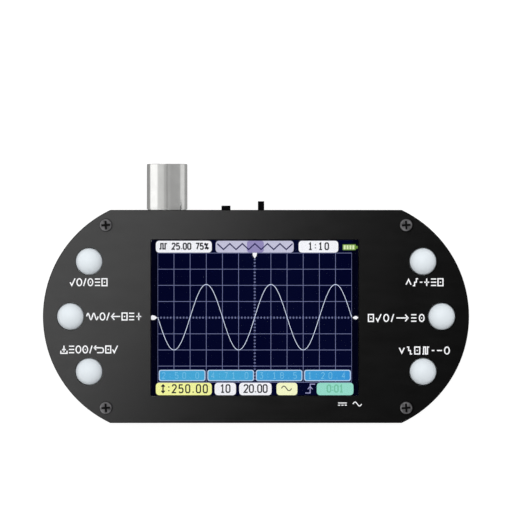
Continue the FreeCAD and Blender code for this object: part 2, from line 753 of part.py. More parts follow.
def button_cap():
    """Push button through the top wall."""
    half = BUTTON_WIDTH / 2
    half_thick = BUTTON_THICKNESS / 2
    cap = block(
        BUTTON_X - half, BUTTON_X + half, y_mount - BUTTON_SEAT, half_height + BUTTON_STANDS_OUT,
        z_button - half_thick, z_button + half_thick,
    )
    return rounded(cap, Vector(0, 1, 0), BUTTON_EDGE_RADIUS)


def button_body():
    """Body of the push-button switch, with the well its button slides in."""
    half = BUTTON_BODY_WIDTH / 2
    body = block(
        BUTTON_X - half, BUTTON_X + half, y_mount - BUTTON_BODY_DEPTH, y_mount,
        z_board - BUTTON_BODY_HEIGHT, z_board,
    )
    half_well = BUTTON_WIDTH / 2 + BUTTON_CLEARANCE
    half_thick = BUTTON_THICKNESS / 2 + BUTTON_CLEARANCE
    well = block(
        BUTTON_X - half_well, BUTTON_X + half_well,
        y_mount - BUTTON_SEAT - BUTTON_TRAVEL - BUTTON_CLEARANCE, y_mount,
        z_button - half_thick, z_button + half_thick,
    )
    return body.cut(well)


def slide_channel(clearance):
    """X and Z half sizes, and front and back, of the room that the carriage slides in."""
    half_x = LEVER_TRAVEL / 2 + CARRIAGE_WIDTH / 2 + clearance
    front = y_mount - SLIDE_COVER_THICKNESS
    return half_x, CARRIAGE_HEIGHT / 2 + clearance, front - CARRIAGE_DEPTH - 2 * clearance, front


def slide_lever():
    """Carriage inside the switch, with the lever that comes out through the top wall."""
    front = y_mount - SLIDE_COVER_THICKNESS - CARRIAGE_CLEARANCE
    half = CARRIAGE_WIDTH / 2
    half_z = CARRIAGE_HEIGHT / 2
    carriage = block(
        LEVER_X - half, LEVER_X + half, front - CARRIAGE_DEPTH, front, z_lever - half_z, z_lever + half_z
    )
    stem = block(
        LEVER_X - LEVER_WIDTH / 2, LEVER_X + LEVER_WIDTH / 2, front, half_height + LEVER_STANDS_OUT,
        z_lever - LEVER_THICKNESS / 2, z_lever + LEVER_THICKNESS / 2,
    )
    return carriage.fuse(rounded(stem, Vector(0, 1, 0), LEVER_EDGE_RADIUS))


def slide_base():
    """Plastic body of the slide switch, with the channel for its carriage."""
    half = SLIDE_BODY_WIDTH / 2
    front = y_mount - SLIDE_COVER_THICKNESS
    body = block(
        slide_x - half, slide_x + half, y_mount - SLIDE_BODY_DEPTH, front,
        z_board - SLIDE_BODY_HEIGHT + SLIDE_COVER_THICKNESS, z_board,
    )
    half_x, half_z, back, front = slide_channel(CARRIAGE_CLEARANCE)
    z0, z1 = z_lever - half_z, z_lever + half_z
    return body.cut(block(slide_x - half_x, slide_x + half_x, back, front, z0, z1))


def slide_cover():
    """Sheet-metal cover over the front and the underside of the slide switch."""
    half = SLIDE_BODY_WIDTH / 2
    z0 = z_board - SLIDE_BODY_HEIGHT
    front = y_mount - SLIDE_COVER_THICKNESS
    plate = block(slide_x - half, slide_x + half, front, y_mount, z0, z_board)
    back = y_mount - SLIDE_BODY_DEPTH
    under = block(slide_x - half, slide_x + half, back, front, z0, z0 + SLIDE_COVER_THICKNESS)
    reach = LEVER_TRAVEL / 2 + LEVER_WIDTH / 2 + LEVER_CLEARANCE
    half_slot = LEVER_THICKNESS / 2 + LEVER_CLEARANCE
    slot = block(slide_x - reach, slide_x + reach, front, y_mount, z_lever - half_slot, z_lever + half_slot)
    return plate.fuse(under).cut(slot).removeSplitter()


# ---------------------------------------------------------------- charging socket


def usb_shell():
    """Metal shell of the charging socket."""
    y0 = y_usb_mouth - USB_DEPTH
    outer = slot_y(USB_X, z_usb, USB_WIDTH, USB_HEIGHT, y0, y_usb_mouth)
    thick = 2 * USB_SHELL_THICKNESS
    return outer.cut(slot_y(USB_X, z_usb, USB_WIDTH - thick, USB_HEIGHT - thick, y0, y_usb_mouth))


def usb_insulator():
    """Plastic back of the charging socket with its tongue."""
    y0 = y_usb_mouth - USB_DEPTH
    thick = 2 * USB_SHELL_THICKNESS
    back = slot_y(USB_X, z_usb, USB_WIDTH - thick, USB_HEIGHT - thick, y0, y0 + USB_BACK_THICKNESS)
    half = TONGUE_THICKNESS / 2
    tongue = block(
        USB_X - TONGUE_WIDTH / 2, USB_X + TONGUE_WIDTH / 2, y0, y_usb_mouth - TONGUE_SET_BACK,
        z_usb - half, z_usb + half,
    )
    return back.fuse(tongue).removeSplitter()


def usb_contacts():
    """Rows of contacts on both faces of the tongue."""
    y0 = y_usb_mouth - USB_DEPTH + USB_BACK_THICKNESS
    half = USB_CONTACT_WIDTH / 2
    first = USB_X - USB_CONTACT_PITCH * (USB_CONTACT_COUNT - 1) / 2
    contacts = []
    for i in range(USB_CONTACT_COUNT):
        x = first + i * USB_CONTACT_PITCH
        for z in (z_usb + TONGUE_THICKNESS / 2, z_usb - TONGUE_THICKNESS / 2 - USB_CONTACT_THICKNESS):
            z_top = z + USB_CONTACT_THICKNESS
            contacts.append(block(x - half, x + half, y0, y0 + USB_CONTACT_LENGTH, z, z_top))
    return contacts


# ---------------------------------------------------------------- battery


def battery_cell():
    """Flat pouch cell."""
    cell = centred(BATTERY_X, BATTERY_Y, z_battery, BATTERY_LENGTH, BATTERY_WIDTH, BATTERY_THICKNESS)
    return rounded(cell, Vector(1, 0, 0), BATTERY_EDGE_RADIUS)


def battery_foam():
    """Foam tape between the cell and the floor of the shell."""
    length = BATTERY_LENGTH - 2 * FOAM_MARGIN
    width = BATTERY_WIDTH - 2 * FOAM_MARGIN
    return centred(BATTERY_X, BATTERY_Y, FLOOR, length, width, FOAM_THICKNESS)


def guard_board():
    """Small protection board on the end of the cell."""
    x1 = BATTERY_X - BATTERY_LENGTH / 2
    half = GUARD_BOARD_LENGTH / 2
    z0 = z_battery + (BATTERY_THICKNESS - GUARD_BOARD_HEIGHT) / 2
    return block(
        x1 - GUARD_BOARD_THICKNESS, x1, BATTERY_Y - half, BATTERY_Y + half, z0, z0 + GUARD_BOARD_HEIGHT
    )


def battery_tabs():
    """Two nickel strips from the protection board up to the main board."""
    x1 = BATTERY_X - BATTERY_LENGTH / 2 - GUARD_BOARD_THICKNESS
    z0 = z_battery + BATTERY_THICKNESS / 2
    tabs = []
    for side in (-1, 1):
        y = BATTERY_Y + side * TAB_SPACING / 2
        tabs.append(block(x1 - TAB_THICKNESS, x1, y - TAB_WIDTH / 2, y + TAB_WIDTH / 2, z0, z_board))
    return tabs


# ---------------------------------------------------------------- main board and what is on it


def chip_places():
    """Where the middle of each chip is, by name."""
    left = SOCKET_X - block_width / 2
    supply_y = y_usb_mouth - USB_DEPTH - BEHIND_PART - CHIP_SIZES["charger_chip"][1] / 2
    capacitor_x = left - BESIDE_SOCKET - CHIP_SIZES["coupling_capacitor"][0] / 2
    return {
        "processor_chip": [(SOCKET_X - LOGIC_PITCH, LOGIC_ROW_Y)],
        "clock_crystal": [(SOCKET_X, LOGIC_ROW_Y)],
        "amplifier_chips": [(SOCKET_X - i * AMPLIFIER_PITCH, INPUT_ROW_Y) for i in range(3)],
        "coupling_capacitor": [(capacitor_x, y_mount - BLOCK_DEPTH + BESIDE_SOCKET)],
        "charger_chip": [(USB_X, supply_y)],
        "power_inductor": [(USB_X + SUPPLY_PITCH, supply_y)],
        "filter_capacitors": [(USB_X + i * SUPPLY_PITCH, supply_y) for i in (-2, -1, 2)],
    }


def passive_rows():
    """Places of the small resistors and capacitors: one row by the processor, one by the supply."""
    logic = [(SOCKET_X - i * PASSIVE_PITCH, LOGIC_PASSIVES_Y) for i in range(LOGIC_PASSIVES)]
    supply = [(USB_X - i * PASSIVE_PITCH, SUPPLY_PASSIVES_Y) for i in range(SUPPLY_PASSIVES)]
    return logic + supply


def chips(name, places):
    """Chips of one kind, hanging under the board."""
    length, width, height = CHIP_SIZES[name]
    bodies = [centred(x, y, z_board - height, length, width, height) for x, y in places]
    return [rounded(body, Vector(0, 0, 1), CHIP_EDGE_RADIUS) for body in bodies]


def passives():
    """Small resistors and capacitors under the board."""
    length, width, height = PASSIVE_SIZE
    return [centred(x, y, z_board - height, length, width, height) for x, y in passive_rows()]


def main_board():
    """Circuit board in the outline of the case."""
    board = outline(WALL + BOARD_TO_WALL, z_board, z_board_top)
    for x, y in SCREW_PLACES:
        board = board.cut(rod(BOSS_DIAMETER / 2 + BOSS_CLEARANCE, x, y, z_board, z_board_top))
    for x, y in socket_pin_places():
        board = board.cut(rod(SOCKET_PIN_DIAMETER / 2 + PIN_HOLE_CLEARANCE, x, y, z_board, z_board_top))
    return board


# ---------------------------------------------------------------- write every node


def main():
    os.makedirs("parts", exist_ok=True)
    save("front_panel", front_panel())
    save("window_lens", window_lens())
    save("rear_shell", rear_shell())
    save("case_screws", *[case_screw(x, y) for x, y in SCREW_PLACES])
    save("threaded_inserts", *[threaded_insert(x, y) for x, y in SCREW_PLACES])
    save("lcd_gasket", lcd_gasket())
    save("lcd_glass", lcd_glass())
    save("lcd_backlight", lcd_backlight())
    save("lcd_tape", *lcd_pads())
    save("lcd_flex", lcd_flex())
    save("lcd_connector", lcd_connector())
    places = key_places()
    for name, (x, y) in places.items():
        save(f"{name}_key", key_cap(x, y))
        save(f"{name}_key_plunger", key_plunger(x, y))
    save("key_switch_bases", *[key_switch_base(x, y) for x, y in places.values()])
    save("key_switch_covers", *[key_switch_cover(x, y) for x, y in places.values()])
    save("socket_block", socket_block())
    save("socket_barrel", socket_barrel())
    save("socket_insulator", socket_insulator())
    save("socket_contact", socket_contact())
    save("socket_pins", *socket_pins())
    save("edge_button", button_cap())
    save("edge_switch_body", button_body())
    save("slide_lever", slide_lever())
    save("slide_switch_base", slide_base())
    save("slide_switch_cover", slide_cover())
    save("usb_shell", usb_shell())
    save("usb_insulator", usb_insulator())
    save("usb_contacts", *usb_contacts())
    save("battery_cell", battery_cell())
    save("battery_foam", battery_foam())
    save("battery_guard_board", guard_board())
    save("battery_tabs", *battery_tabs())
    save("main_board", main_board())
    for name, places_of_kind in chip_places().items():
        save(name, *chips(name, places_of_kind))
    save("small_passives", *passives())


main()
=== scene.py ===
import json
import math

import bmesh
import bpy
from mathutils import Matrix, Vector


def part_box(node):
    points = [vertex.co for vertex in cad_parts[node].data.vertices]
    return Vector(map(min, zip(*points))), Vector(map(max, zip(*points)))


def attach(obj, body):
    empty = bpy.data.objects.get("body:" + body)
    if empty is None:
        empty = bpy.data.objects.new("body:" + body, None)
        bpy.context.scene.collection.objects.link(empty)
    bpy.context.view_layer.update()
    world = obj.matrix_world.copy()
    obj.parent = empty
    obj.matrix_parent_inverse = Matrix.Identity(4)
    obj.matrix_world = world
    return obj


# Looks for the handheld oscilloscope: finishes for the CAD nodes, the display's picture, the printed
# symbols, and the studio. Lengths are in metres, and MM turns millimetres into metres.

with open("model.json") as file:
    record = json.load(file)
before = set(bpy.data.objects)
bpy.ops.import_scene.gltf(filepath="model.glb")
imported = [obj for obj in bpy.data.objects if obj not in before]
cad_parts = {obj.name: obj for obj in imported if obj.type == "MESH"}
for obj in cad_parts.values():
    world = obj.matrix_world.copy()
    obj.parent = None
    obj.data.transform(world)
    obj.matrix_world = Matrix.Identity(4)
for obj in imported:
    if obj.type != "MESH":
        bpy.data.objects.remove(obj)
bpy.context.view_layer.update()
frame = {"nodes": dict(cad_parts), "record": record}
nodes = frame["nodes"]
scene = bpy.context.scene
MM = 0.001

# ---------------------------------------------------------------- camera, aimed straight down at the face

face_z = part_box("front_panel")[1].z
AIM_Y = 14.3 * MM
CAMERA_ABOVE_FACE = 1.009
# The lens and the sensor are in millimetres, as camera data take them.
LENS_LENGTH = 300
SENSOR_WIDTH = 36
CLIP_START = 0.01
CLIP_END = 100

camera_data = bpy.data.cameras.new("camera")
camera_data.lens = LENS_LENGTH
camera_data.sensor_width = SENSOR_WIDTH
camera_data.clip_start = CLIP_START
camera_data.clip_end = CLIP_END
camera = bpy.data.objects.new("camera", camera_data)
camera.location = (0, AIM_Y, face_z + CAMERA_ABOVE_FACE)
scene.collection.objects.link(camera)
scene.camera = camera
scene.view_settings.view_transform = "Standard"

# ---------------------------------------------------------------- colour and node helpers

# Nearly all of a noise pattern lies between these two values.
NOISE_LOW = 0.3
NOISE_HIGH = 0.7
# A Mix node's sockets, by number: its two numbers, its two colours, and the colour that comes out.
NUMBER_A, NUMBER_B = 2, 3
COLOUR_A, COLOUR_B = 6, 7
COLOUR_OUT = 2


def srgb(red, green, blue):
    """An eight-bit display colour as the linear colour that shaders take."""
    channels = []
    for value in (red, green, blue):
        value /= 255
        channels.append(value / 12.92 if value <= 0.04045 else ((value + 0.055) / 1.055) ** 2.4)
    return (*channels, 1)


def grey(level):
    """A neutral colour, in linear values."""
    return (level, level, level, 1)


def shade(colour, factor):
    """A colour made lighter or darker."""
    return tuple(min(1, channel * factor) for channel in colour[:3]) + (1,)


class Finish:
    """A Principled material, and the procedural detail that feeds it."""

    def __init__(self, name, **constants):
        self.material = bpy.data.materials.new(name)
        self.material.use_nodes = True
        self.tree = self.material.node_tree
        self.shader = self.tree.nodes["Principled BSDF"]
        for socket, value in constants.items():
            self.shader.inputs[socket.replace("_", " ")].default_value = value
        self.place = self.add("TexCoord").outputs["Object"]

    def add(self, kind, **inputs):
        node = self.tree.nodes.new("ShaderNode" + kind)
        for socket, value in inputs.items():
            self.feed(node.inputs[socket.replace("_", " ")], value)
        return node

    def feed(self, socket, value):
        if isinstance(value, bpy.types.NodeSocket):
            self.tree.links.new(value, socket)
        else:
            socket.default_value = value

    def give(self, socket, value):
        self.feed(self.shader.inputs[socket], value)

    def stretched(self, x, y, z):
        """Coordinates drawn out, so that a pattern's cells are x by y by z of its size."""
        return self.add("Mapping", Vector=self.place, Scale=(1 / x, 1 / y, 1 / z)).outputs[0]

    def noise(self, size, detail=2.0, place=None):
        """Soft noise whose blotches are about size across."""
        vector = self.place if place is None else place
        return self.add("TexNoise", Vector=vector, Scale=1 / size, Detail=detail).outputs[0]

    def cells(self, size, place=None):
        """Distance to the middle of the nearest of many small cells."""
        vector = self.place if place is None else place
        return self.add("TexVoronoi", Vector=vector, Scale=1 / size).outputs["Distance"]

    def between(self, pattern, low, high, start=NOISE_LOW, end=NOISE_HIGH):
        """A number that runs from low to high as the pattern runs from start to end."""
        node = self.add("MapRange", Value=pattern)
        for socket, value in (("From Min", start), ("From Max", end), ("To Min", low), ("To Max", high)):
            node.inputs[socket].default_value = value
        return node.outputs[0]

    def ramp(self, pattern, *stops):
        """A colour for each place along a pattern's range."""
        node = self.add("ValToRGB", Fac=pattern)
        elements = node.color_ramp.elements
        while len(elements) < len(stops):
            elements.new(0.5)
        for element, (position, colour) in zip(elements, stops):
            element.position = position
            element.color = colour
        return node.outputs["Color"]

    def mottled(self, pattern, colour, darkest, lightest):
        """The colour, made darker and lighter over a noise pattern's range."""
        return self.ramp(pattern, (NOISE_LOW, shade(colour, darkest)), (NOISE_HIGH, shade(colour, lightest)))

    def total(self, one, other, share=0.5):
        """Two patterns mixed, with share of the second."""
        node = self.add("Mix", Factor=share)
        self.feed(node.inputs[NUMBER_A], one)
        self.feed(node.inputs[NUMBER_B], other)
        return node.outputs[0]

    def relief(self, height, depth, strength=1.0):
        """Bumps as deep as depth."""
        self.give("Normal", self.add("Bump", Height=height, Distance=depth, Strength=strength).outputs[0])


def plastic(name, colour, roughness, specular=0.5, grain=0.25 * MM, depth=0.01 * MM, mottle=0.08):
    """Moulded or coated plastic: fine grain, faint blotches and slightly uneven gloss."""
    finish = Finish(name, Specular_IOR_Level=specular)
    blotches = finish.noise(7 * MM, 4)
    finish.give("Base Color", finish.mottled(blotches, colour, 1 - mottle, 1 + mottle))
    rubbed = finish.noise(3 * MM, 6)
    finish.give("Roughness", finish.between(rubbed, roughness - 0.05, roughness + 0.05))
    finish.relief(finish.total(finish.noise(grain, 3), finish.cells(grain), 0.35), depth)
    return finish.material


def metal(name, colour, roughness, stretch=(1, 1, 1), grain=0.1 * MM, depth=0.002 * MM, stain=0.1):
    """Plated or cut metal: tool marks drawn out along stretch, faint staining."""
    finish = Finish(name, Metallic=1.0)
    stains = finish.noise(2.5 * MM, 5)
    finish.give("Base Color", finish.mottled(stains, colour, 1 - stain, 1 + stain))
    marks = finish.noise(grain, 3, finish.stretched(*stretch))
    finish.give("Roughness", finish.between(finish.total(marks, stains), roughness - 0.06, roughness + 0.06))
    finish.relief(marks, depth)
    return finish.material


# ---------------------------------------------------------------- finishes, one for each material slot


def panel_black():
    """Fine matt black coat: dense tiny grain, faint wiping marks, almost no gloss seen square on."""
    finish = Finish("panel_black", Specular_IOR_Level=0.045)
    blotches = finish.noise(9 * MM, 5)
    finish.give("Base Color", finish.mottled(blotches, srgb(1.2, 1.2, 1.2), 0.8, 1.25))
    wiping = finish.noise(2.2 * MM, 5, finish.stretched(3.0, 1.0, 1.0))
    finish.give("Roughness", finish.between(wiping, 0.28, 0.33))
    finish.relief(finish.total(finish.noise(0.16 * MM, 3), finish.cells(0.3 * MM), 0.4), 0.006 * MM)
    return finish.material


def screw_metal():
    """Darkened steel: tool marks, and painted shade that turns the cross recess near black."""
    finish = Finish("screw_metal", Metallic=1.0)
    head_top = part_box("case_screws")[1].z
    # Painted shade: from 0.04 mm to 0.16 mm below the head's top, the cross recess fades to near black.
    shade_below = head_top - 0.16 * MM
    unshaded_above = head_top - 0.04 * MM
    colour = srgb(122, 121, 123)
    stains = finish.noise(0.8 * MM, 5)
    level = finish.add("SeparateXYZ", Vector=finish.place).outputs["Z"]
    recess_shade = finish.add("Mix", Factor=finish.between(level, 0.0, 1.0, shade_below, unshaded_above))
    recess_shade.data_type = "RGBA"
    finish.feed(recess_shade.inputs[COLOUR_A], shade(colour, 0.06))
    finish.feed(recess_shade.inputs[COLOUR_B], finish.mottled(stains, colour, 0.55, 1.45))
    finish.give("Base Color", recess_shade.outputs[COLOUR_OUT])
    marks = finish.noise(0.12 * MM, 3, finish.stretched(5, 1, 5))
    finish.give("Roughness", finish.between(finish.total(marks, stains), 0.34, 0.5))
    finish.relief(marks, 0.005 * MM)
    return finish.material


def turned_nickel():
    """Satin nickel on a turned barrel: fine rings round it, faint handling marks."""
    finish = Finish("barrel_nickel", Metallic=1.0)
    rings = finish.noise(0.06 * MM, 3, finish.stretched(60.0, 1.0, 60.0))
    handled = finish.noise(2.0 * MM, 5)
    finish.give("Base Color", finish.mottled(handled, srgb(215, 215, 213), 0.95, 1.03))
    finish.give("Roughness", finish.between(finish.total(rings, handled, 0.4), 0.12, 0.2))
    finish.relief(rings, 0.0015 * MM)
    return finish.material


def clear_lens():
    """Clear window: clean plastic with faint rubbing and a trace of orange peel."""
    finish = Finish("lens", Transmission_Weight=1.0, IOR=1.46)
    patches = finish.noise(4 * MM, 4)
    tint = (0.97, 0.98, 0.98, 1)
    finish.give("Base Color", finish.ramp(patches, (NOISE_LOW, tint), (NOISE_HIGH, grey(1))))
    finish.give("Roughness", finish.between(finish.noise(1.2 * MM, 6), 0.0, 0.03))
    finish.relief(finish.noise(1.5 * MM, 2), 0.0004 * MM)
    return finish.material


def board_green():
    """Solder mask with raised copper tracks under it."""
    finish = Finish("board_green", Specular_IOR_Level=0.5, Coat_Weight=0.3)
    tracks = finish.add(
        "TexBrick", Vector=finish.place, Scale=1.0,
        Color1=srgb(14, 74, 44), Color2=srgb(16, 84, 50), Mortar=srgb(30, 112, 66),
    )
    for socket, value in (("Mortar Size", 0.15 * MM), ("Brick Width", 5 * MM), ("Row Height", 1.3 * MM)):
        tracks.inputs[socket].default_value = value
    finish.give("Base Color", tracks.outputs["Color"])
    finish.give("Roughness", finish.between(finish.noise(1.5 * MM, 4), 0.3, 0.42))
    finish.relief(finish.total(tracks.outputs["Fac"], finish.noise(0.3 * MM), 0.2), 0.02 * MM)
    return finish.material


def crinkled(name, colour, roughness, metallic=0.0):
    """Thin film or foil pulled over something soft."""
    finish = Finish(name, Metallic=metallic)
    creases = finish.noise(3 * MM, 7)
    finish.give("Base Color", finish.mottled(creases, colour, 0.82, 1.12))
    finish.give("Roughness", finish.between(creases, roughness - 0.08, roughness + 0.08))
    finish.relief(creases, 0.12 * MM)
    return finish.material


FINISHES = {
    "panel_black": panel_black(),
    "shell_black": plastic("shell_black", srgb(17, 17, 19), 0.48, 0.35, 0.28 * MM, 0.022 * MM),
    "key_white": plastic("key_white", srgb(221, 228, 233), 0.34, 0.5, 0.5 * MM, 0.002 * MM, 0.02),
    "lens": clear_lens(),
    "screen": plastic("screen", srgb(8, 9, 18), 0.2, 0.3, 0.6 * MM, 0.001 * MM),
    "display_frame": plastic("display_frame", srgb(12, 12, 14), 0.75, 0.2, 0.2 * MM, 0.03 * MM),
    "screw_metal": screw_metal(),
    "insert_brass": metal("insert_brass", srgb(196, 160, 92), 0.36, (1, 1, 0.3), 0.15 * MM, 0.01 * MM),
    "barrel_nickel": turned_nickel(),
    "insulator_white": plastic("insulator_white", srgb(226, 224, 214), 0.45, 0.4, 0.4 * MM, 0.004 * MM, 0.03),
    "contact_gold": metal("contact_gold", srgb(232, 190, 108), 0.25, (1, 6, 1), 0.08 * MM, 0.001 * MM, 0.06),
    "tin": metal("tin", srgb(196, 198, 202), 0.33, (4, 1, 1), 0.1 * MM, 0.003 * MM, 0.08),
    "part_black": plastic("part_black", srgb(3, 3, 4), 0.5, 0.07, 0.15 * MM, 0.006 * MM),
    "board_green": board_green(),
    "foam_black": plastic("foam_black", srgb(16, 16, 17), 0.92, 0.1, 0.35 * MM, 0.12 * MM, 0.2),
    "flex_amber": plastic("flex_amber", srgb(176, 96, 24), 0.38, 0.5, 0.5 * MM, 0.004 * MM, 0.12),
    "pouch_silver": crinkled("pouch_silver", srgb(186, 188, 192), 0.4, 0.8),
    "ceramic_tan": plastic("ceramic_tan", srgb(176, 142, 100), 0.5, 0.5, 0.12 * MM, 0.004 * MM, 0.1),
    "film_red": crinkled("film_red", srgb(150, 28, 24), 0.35),
}

# ---------------------------------------------------------------- drawing in thin closed plates

NO_LENGTH = 1e-6            # of the sum of two unit vectors
SAME_POINT = 1e-9
SHARPEST_MITRE = 0.45       # cosine of the most that a corner's mitre may lean
CORNER_STEPS = 5


class Drawing:
    """Flat plates and strokes gathered into one mesh."""

    def __init__(self, low, high):
        self.mesh = bmesh.new()
        self.low = low
        self.high = high

    def plate(self, outline):
        """A plate with a convex outline."""
        lower = [self.mesh.verts.new((x, y, self.low)) for x, y in outline]
        upper = [self.mesh.verts.new((x, y, self.high)) for x, y in outline]
        self.mesh.faces.new(upper)
        self.mesh.faces.new(lower[::-1])
        count = len(outline)
        for i in range(count):
            j = (i + 1) % count
            self.mesh.faces.new((lower[i], lower[j], upper[j], upper[i]))

    def stroke(self, points, width, closed=False):
        """A line of even width through points, with mitred corners."""
        points = [Vector(point) for point in points]
        count = len(points)
        rows = []
        for i, point in enumerate(points):
            before = points[i - 1] if i or closed else None
            after = points[(i + 1) % count] if i < count - 1 or closed else None
            into = (point - before).normalized() if before is not None else None
            out = (after - point).normalized() if after is not None else None
            into = out if into is None else into
            out = into if out is None else out
            square = Vector((-into.y, into.x))
            across = square + Vector((-out.y, out.x))
            across = square if across.length < NO_LENGTH else across.normalized()
            reach = width / 2 / max(SHARPEST_MITRE, across.dot(square))
            rows.append([
                self.mesh.verts.new((*(point + across * side * reach), level))
                for side, level in ((1, self.low), (-1, self.low), (-1, self.high), (1, self.high))
            ])
        for i in range(count if closed else count - 1):
            one, other = rows[i], rows[(i + 1) % count]
            for k in range(4):
                m = (k + 1) % 4
                self.mesh.faces.new((one[k], one[m], other[m], other[k]))
        if not closed:
            self.mesh.faces.new(rows[0])
            self.mesh.faces.new(rows[-1][::-1])

    def piece(self, name, material, slot):
        """Makes the finished object, which rides on the case."""
        bmesh.ops.recalc_face_normals(self.mesh, faces=self.mesh.faces)
        data = bpy.data.meshes.new(name)
        self.mesh.to_mesh(data)
        self.mesh.free()
        data.materials.append(material)
        made = bpy.data.objects.new(name, data)
        scene.collection.objects.link(made)
        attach(made, "case")


def arc(x, y, radius, start, end, count=14):
    """Points along an arc, from start to end in degrees."""
    return [
        (
            x + radius * math.cos(math.radians(start + (end - start) * i / count)),
            y + radius * math.sin(math.radians(start + (end - start) * i / count)),
        )
        for i in range(count + 1)
    ]


def rounded_box(x0, x1, y0, y1, radius):
    """The outline of a box with rounded corners."""
    corners = (
        (x1 - radius, y1 - radius), (x0 + radius, y1 - radius),
        (x0 + radius, y0 + radius), (x1 - radius, y0 + radius),
    )
    return [
        point for turn, (x, y) in enumerate(corners)
        for point in arc(x, y, radius, 90 * turn, 90 * (turn + 1), CORNER_STEPS)
    ]


def wave(x0, x1, turns, middle, height, count=28):
    """A sine that starts upwards."""
    return [
        (x0 + (x1 - x0) * i / count, middle + height * math.sin(2 * math.pi * turns * i / count))
        for i in range(count + 1)
    ]


# Symbols, as (width, strokes), in units of their height. A stroke that ends where it starts is a ring.
SYMBOLS = {
    "0": (0.5, [[(0.12, 0), (0.38, 0), (0.5, 0.16), (0.5, 0.84), (0.38, 1), (0.12, 1), (0, 0.84), (0, 0.16),
                 (0.12, 0)]]),
    "1": (0.5, [[(0.06, 0.8), (0.27, 1), (0.27, 0)], [(0.06, 0), (0.48, 0)]]),
    "2": (0.5, [[(0, 0.8), (0.12, 1), (0.38, 1), (0.5, 0.84), (0.5, 0.66), (0.02, 0), (0.5, 0)]]),
    "3": (0.5, [[(0.02, 1), (0.48, 1), (0.22, 0.6), (0.38, 0.58), (0.5, 0.42), (0.5, 0.16), (0.38, 0),
                 (0.12, 0), (0, 0.14)]]),
    "4": (0.5, [[(0.38, 0), (0.38, 1), (0, 0.3), (0.5, 0.3)]]),
    "5": (0.5, [[(0.46, 1), (0.05, 1), (0.03, 0.56), (0.36, 0.6), (0.5, 0.44), (0.5, 0.16), (0.38, 0),
                 (0.12, 0), (0, 0.14)]]),
    "7": (0.5, [[(0.02, 1), (0.5, 1), (0.2, 0)]]),
    "8": (0.5, [[(0.12, 0), (0.38, 0), (0.5, 0.16), (0.5, 0.4), (0.38, 0.54), (0.5, 0.68), (0.5, 0.86),
                 (0.38, 1), (0.12, 1), (0, 0.86), (0, 0.68), (0.12, 0.54), (0, 0.4), (0, 0.16), (0.12, 0)],
                [(0.12, 0.54), (0.38, 0.54)]]),
    ".": (0.14, [[(0.07, 0), (0.07, 0.14)]]),
    ":": (0.14, [[(0.07, 0.18), (0.07, 0.32)], [(0.07, 0.66), (0.07, 0.8)]]),
    "%": (0.6, [[(0.06, 0), (0.54, 1)], arc(0.12, 0.84, 0.12, 0, 360, 8), arc(0.48, 0.16, 0.12, 0, 360, 8)]),
    " ": (0.35, []),
    "tick": (0.95, [[(0, 0.5), (0.32, 0.08), (0.95, 1)]]),
    "ring": (0.9, [arc(0.45, 0.5, 0.45, 0, 360, 24)]),
    "target": (1.0, [arc(0.5, 0.5, 0.45, 0, 360, 24), [(0.42, 0.5), (0.58, 0.5)]]),
    "slash": (0.45, [[(0.0, 0.0), (0.45, 1.0)]]),
    "wave": (2.2, [wave(0, 2.2, 2, 0.5, 0.42)]),
    "arrow_left": (1.7, [[(1.7, 0.5), (0.1, 0.5)], [(0.62, 0.06), (0.06, 0.5), (0.62, 0.94)]]),
    "arrow_right": (2.3, [[(0, 0.5), (2.2, 0.5)], [(1.68, 0.06), (2.24, 0.5), (1.68, 0.94)]]),
    "tray": (1.2, [[(0, 0.34), (0, 0), (1.2, 0), (1.2, 0.34)], [(0.6, 1), (0.6, 0.3)],
                   [(0.3, 0.56), (0.6, 0.27), (0.9, 0.56)]]),
    "bars": (1.0, [[(0, 0.08), (1, 0.08)], [(0, 0.5), (1, 0.5)], [(0, 0.92), (1, 0.92)]]),
    "turn_back": (1.9, [[(0.1, 0.72), (1.5, 0.72)] + arc(1.5, 0.4, 0.32, 90, -90, 8)[1:] + [(0.6, 0.08)],
                        [(0.42, 1.0), (0.06, 0.72), (0.42, 0.42)]]),
    "chevron_up": (0.95, [[(0, 0.18), (0.475, 0.86), (0.95, 0.18)]]),
    "chevron_down": (0.95, [[(0, 0.86), (0.475, 0.18), (0.95, 0.86)]]),
    "dash": (0.5, [[(0, 0.5), (0.5, 0.5)]]),
    "plus": (0.95, [[(0, 0.5), (0.95, 0.5)], [(0.475, 0.02), (0.475, 0.98)]]),
    "minus": (0.95, [[(0, 0.5), (0.95, 0.5)]]),
    "box": (0.95, [[(0, 0.05), (0.95, 0.05), (0.95, 0.95), (0, 0.95), (0, 0.05)], [(0.35, 0.5), (0.6, 0.5)]]),
    "pulses": (1.3, [[(0, 0.05), (0.25, 0.05), (0.25, 0.95), (0.62, 0.95), (0.62, 0.05), (0.98, 0.05),
                      (0.98, 0.95), (1.3, 0.95)]]),
    "stairs_up": (1.0, [[(0, 0.05), (0.34, 0.05), (0.34, 0.5), (0.67, 0.5), (0.67, 0.95), (1, 0.95)]]),
    "stairs_down": (1.0, [[(0, 0.95), (0.34, 0.95), (0.34, 0.5), (0.67, 0.5), (0.67, 0.05), (1, 0.05)]]),
    "steady": (1.5, [[(0, 0.68), (1.5, 0.68)], [(0, 0.3), (0.36, 0.3)], [(0.57, 0.3), (0.93, 0.3)],
                     [(1.14, 0.3), (1.5, 0.3)]]),
    "sine": (1.5, [wave(0, 1.5, 1, 0.5, 0.34, 16)]),
    "step": (1.0, [[(0, 0.05), (0.5, 0.05), (0.5, 0.95), (1, 0.95)],
                   [(0.26, 0.44), (0.5, 0.72), (0.74, 0.44)]]),
    "span": (0.6, [[(0.3, 0), (0.3, 1)], [(0.08, 0.24), (0.3, 0), (0.52, 0.24)],
                   [(0.08, 0.76), (0.3, 1), (0.52, 0.76)]]),
}


